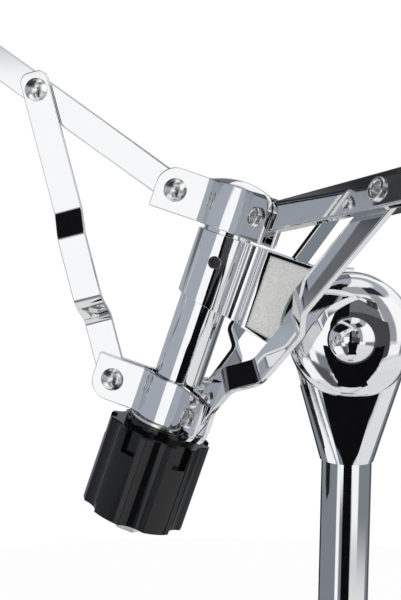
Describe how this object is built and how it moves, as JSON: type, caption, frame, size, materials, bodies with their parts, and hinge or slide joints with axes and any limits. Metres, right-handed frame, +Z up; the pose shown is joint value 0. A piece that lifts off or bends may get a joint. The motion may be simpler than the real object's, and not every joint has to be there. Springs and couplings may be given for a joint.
{
  "type": "snare drum stand",
  "caption": "Snare drum stand: folding tripod, height clamp, tilter and a screw-drawn basket of flat arms and cranked struts with rubber tips.",
  "frame": {"origin": "on the floor, on the axis of the upright tube", "axes": "+Z up along the upright, +X to the right and +Y away from the front, with the basket hung on the -X side"},
  "size_m": [0.4537, 0.5196, 0.6772],
  "materials": {
    "chrome_tube": "bright chrome-plated steel tube",
    "chrome_strip": "bright chrome-plated steel strip",
    "chrome_casting": "bright chrome-plated zinc casting",
    "chrome_rivet": "polished plated rivet",
    "steel_bare": "zinc-plated steel",
    "steel_black": "blackened steel",
    "brass": "plain brass",
    "knob_plastic": "moulded glossy black",
    "rubber": "moulded black rubber",
    "nylon": "black nylon",
    "fibre": "pressed fibre"
  },
  "bodies": {
    "base": {"base_tube": "chrome_tube", "base_plug": "nylon", "leg_spider": "chrome_casting", "spider_pin": "steel_bare", "spider_rivets": "chrome_rivet", "height_clamp": "chrome_casting", "clamp_bush": "nylon", "clamp_nut": "steel_bare"},
    "height_bolt": {"height_wing_bolt": "chrome_casting"},
    "upright": {"upper_tube": "chrome_tube", "tilter_neck": "chrome_casting", "hub_front_shell": "chrome_casting", "hub_rear_shell": "chrome_casting", "friction_rings": "fibre", "tilter_bolt": "chrome_casting", "tilter_washer": "chrome_rivet"},
    "tilter_nut": {"tilter_wing_nut": "chrome_casting"},
    "holder": {"basket_holder": "chrome_casting", "set_screw": "steel_black"},
    "basket": {"basket_tube": "chrome_tube", "tube_cap": "chrome_tube", "upper_bracket": "chrome_strip", "upper_rivets": "chrome_rivet", "rod_plug": "steel_bare", "draw_rod": "steel_bare", "rod_end_nut": "chrome_rivet"},
    "slider": {"lower_bracket": "chrome_strip", "lower_rivets": "chrome_rivet", "thrust_washer": "chrome_rivet"},
    "knob": {"adjust_knob": "knob_plastic", "knob_nut": "brass"},
    "collar": {"leg_collar": "chrome_casting", "collar_rivets": "chrome_rivet"},
    "collar_screw": {"collar_wing_screw": "chrome_casting"},
    "arm_1": {"arm_1": "chrome_strip", "arm_tip_1": "rubber", "arm_rivet_1": "chrome_rivet"},
    "strut_1": {"strut_1": "chrome_strip"},
    "leg_1": {"leg_1": "chrome_strip", "foot_1": "rubber", "leg_rivets_1": "chrome_rivet"},
    "brace_1": {"brace_1": "chrome_strip"},
    "arm_2": {"arm_2": "chrome_strip", "arm_tip_2": "rubber", "arm_rivet_2": "chrome_rivet"},
    "strut_2": {"strut_2": "chrome_strip"},
    "leg_2": {"leg_2": "chrome_strip", "foot_2": "rubber", "leg_rivets_2": "chrome_rivet"},
    "brace_2": {"brace_2": "chrome_strip"},
    "arm_3": {"arm_3": "chrome_strip", "arm_tip_3": "rubber", "arm_rivet_3": "chrome_rivet"},
    "strut_3": {"strut_3": "chrome_strip"},
    "leg_3": {"leg_3": "chrome_strip", "foot_3": "rubber", "leg_rivets_3": "chrome_rivet"},
    "brace_3": {"brace_3": "chrome_strip"}
  },
  "joints": [
    {"name": "tripod_fold", "type": "hinge", "parent": "base", "child": "brace_1", "pos_m": [-0.033, 0, 0.06062], "axis": [0, 1, 0], "range_deg": [0, 48]},
    {"name": "leg_1_hinge", "type": "hinge", "parent": "brace_1", "child": "leg_1", "pos_m": [-0.11901, 0, 0.12085], "axis": [0, 1, 0], "range_deg": [-96.02, 0.02]},
    {"name": "collar_rise", "type": "hinge", "parent": "leg_1", "child": "collar", "pos_m": [-0.033, 0, 0.18107], "axis": [0, 1, 0], "range_deg": [-0.02, 48.02]},
    {"name": "brace_2_hinge", "type": "hinge", "parent": "base", "child": "brace_2", "pos_m": [0.0165, -0.02858, 0.06062], "axis": [-0.866, -0.5, 0], "range_deg": [-0.02, 48.02]},
    {"name": "leg_2_hinge", "type": "hinge", "parent": "brace_2", "child": "leg_2", "pos_m": [0.05951, -0.10307, 0.12085], "axis": [-0.866, -0.5, 0], "range_deg": [-96.02, 0.02]},
    {"name": "brace_3_hinge", "type": "hinge", "parent": "base", "child": "brace_3", "pos_m": [0.0165, 0.02858, 0.06062], "axis": [0.866, -0.5, 0], "range_deg": [-0.02, 48.02]},
    {"name": "leg_3_hinge", "type": "hinge", "parent": "brace_3", "child": "leg_3", "pos_m": [0.05951, 0.10307, 0.12085], "axis": [0.866, -0.5, 0], "range_deg": [-96.02, 0.02]},
    {"name": "collar_screw_turn", "type": "hinge", "parent": "collar", "child": "collar_screw", "pos_m": [0, 0, 0.19347], "axis": [1, 0, 0], "range_deg": [-180, 180]},
    {"name": "height_slide", "type": "slide", "parent": "base", "child": "upright", "axis": [0, 0, 1], "range_m": [-0.06, 0.09]},
    {"name": "height_bolt_turn", "type": "hinge", "parent": "base", "child": "height_bolt", "pos_m": [0, 0.0295, 0.315], "axis": [1, 0, 0], "range_deg": [-180, 180]},
    {"name": "tilt", "type": "hinge", "parent": "upright", "child": "holder", "pos_m": [0, 0, 0.49], "axis": [0, 1, 0], "range_deg": [-28, 45]},
    {"name": "tilter_nut_turn", "type": "hinge", "parent": "upright", "child": "tilter_nut", "pos_m": [0, 0, 0.49], "axis": [0, 1, 0], "range_deg": [-180, 180]},
    {"name": "basket_swivel", "type": "hinge", "parent": "holder", "child": "basket", "pos_m": [-0.06254, 0, 0.51044], "axis": [0.3107, 0, 0.9505], "range_deg": [-12, 12]},
    {"name": "basket_draw", "type": "slide", "parent": "basket", "child": "slider", "axis": [0.3107, 0, 0.9505], "range_m": [-0.003, 0.02]},
    {"name": "arm_1_hinge", "type": "hinge", "parent": "basket", "child": "arm_1", "pos_m": [-0.07838, -0.00127, 0.55202], "axis": [-0.0431, 0.999, 0.0141], "range_deg": [-3.26, 21.64]},
    {"name": "strut_1_hinge", "type": "hinge", "parent": "arm_1", "child": "strut_1", "pos_m": [-0.14122, -0.0046, 0.59588], "axis": [-0.0431, 0.999, 0.0141], "range_deg": [-15.91, 2.4]},
    {"name": "arm_2_hinge", "type": "hinge", "parent": "basket", "child": "arm_2", "pos_m": [-0.03746, -0.02359, 0.53864], "axis": [-0.8008, -0.5388, 0.2617], "range_deg": [-3.26, 21.64]},
    {"name": "strut_2_hinge", "type": "hinge", "parent": "arm_2", "child": "strut_2", "pos_m": [0.00703, -0.08545, 0.54743], "axis": [-0.8008, -0.5388, 0.2617], "range_deg": [-15.91, 2.4]},
    {"name": "arm_3_hinge", "type": "hinge", "parent": "basket", "child": "arm_3", "pos_m": [-0.03955, 0.02486, 0.53933], "axis": [0.8439, -0.4602, -0.2758], "range_deg": [-3.26, 21.64]},
    {"name": "strut_3_hinge", "type": "hinge", "parent": "arm_3", "child": "strut_3", "pos_m": [-0.00054, 0.09005, 0.5499], "axis": [0.8439, -0.4602, -0.2758], "range_deg": [-15.91, 2.4]},
    {"name": "knob_turn", "type": "hinge", "parent": "slider", "child": "knob", "pos_m": [-0.06254, 0, 0.51044], "axis": [0.3107, 0, 0.9505], "range_deg": [-361, 2401]}
  ],
  "couplings": [
    {"joint": "leg_1_hinge", "follows": "tripod_fold", "ratio": -2},
    {"joint": "collar_rise", "follows": "tripod_fold", "ratio": 1},
    {"joint": "brace_2_hinge", "follows": "tripod_fold", "ratio": 1},
    {"joint": "leg_2_hinge", "follows": "tripod_fold", "ratio": -2},
    {"joint": "brace_3_hinge", "follows": "tripod_fold", "ratio": 1},
    {"joint": "leg_3_hinge", "follows": "tripod_fold", "ratio": -2},
    {"joint": "arm_1_hinge", "follows": "basket_draw", "rad_per_m": 18.87},
    {"joint": "strut_1_hinge", "follows": "basket_draw", "rad_per_m": -13.87},
    {"joint": "arm_2_hinge", "follows": "basket_draw", "rad_per_m": 18.87},
    {"joint": "strut_2_hinge", "follows": "basket_draw", "rad_per_m": -13.87},
    {"joint": "arm_3_hinge", "follows": "basket_draw", "rad_per_m": 18.87},
    {"joint": "strut_3_hinge", "follows": "basket_draw", "rad_per_m": -13.87},
    {"joint": "knob_turn", "follows": "basket_draw", "rad_per_m": 2094.4}
  ]
}
